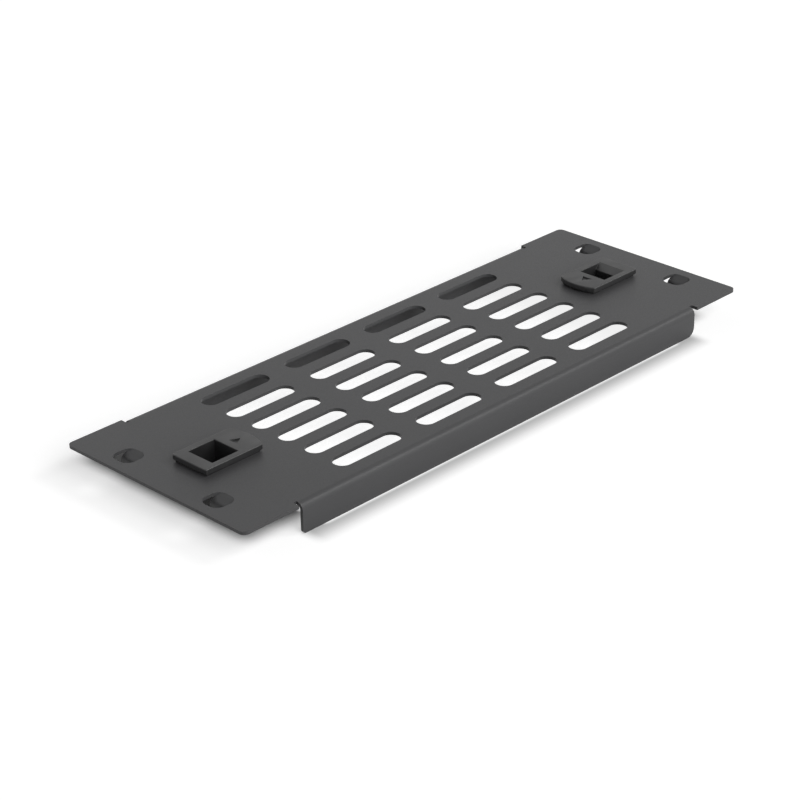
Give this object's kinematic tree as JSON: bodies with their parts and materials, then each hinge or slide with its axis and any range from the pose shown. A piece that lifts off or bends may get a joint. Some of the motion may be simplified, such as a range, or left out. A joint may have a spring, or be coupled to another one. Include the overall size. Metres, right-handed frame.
{
  "type": "rack blanking panel",
  "caption": "Flat ventilated blanking panel with folded edges, rows of vent slots, locating tabs bent out of its ears and sliding latches that hook behind the rack rails.",
  "frame": {"origin": "middle of the panel, level with the lower edges of its two flanges", "axes": "+X along the panel, +Y across it, +Z out of its front face"},
  "size_m": [0.254, 0.0882, 0.0139],
  "materials": {
    "powder_coat": "fine satin powder coat",
    "moulded_plastic": "fine matt grain"
  },
  "bodies": {
    "panel": {"panel": "powder_coat"},
    "left_latch": {"left_latch": "moulded_plastic"},
    "right_latch": {"right_latch": "moulded_plastic"}
  },
  "joints": [
    {"name": "left_latch_slide", "type": "slide", "parent": "panel", "child": "left_latch", "axis": [1, 0, 0], "range_m": [0, 0.005]},
    {"name": "right_latch_slide", "type": "slide", "parent": "panel", "child": "right_latch", "axis": [-1, 0, 0], "range_m": [0, 0.005]}
  ]
}
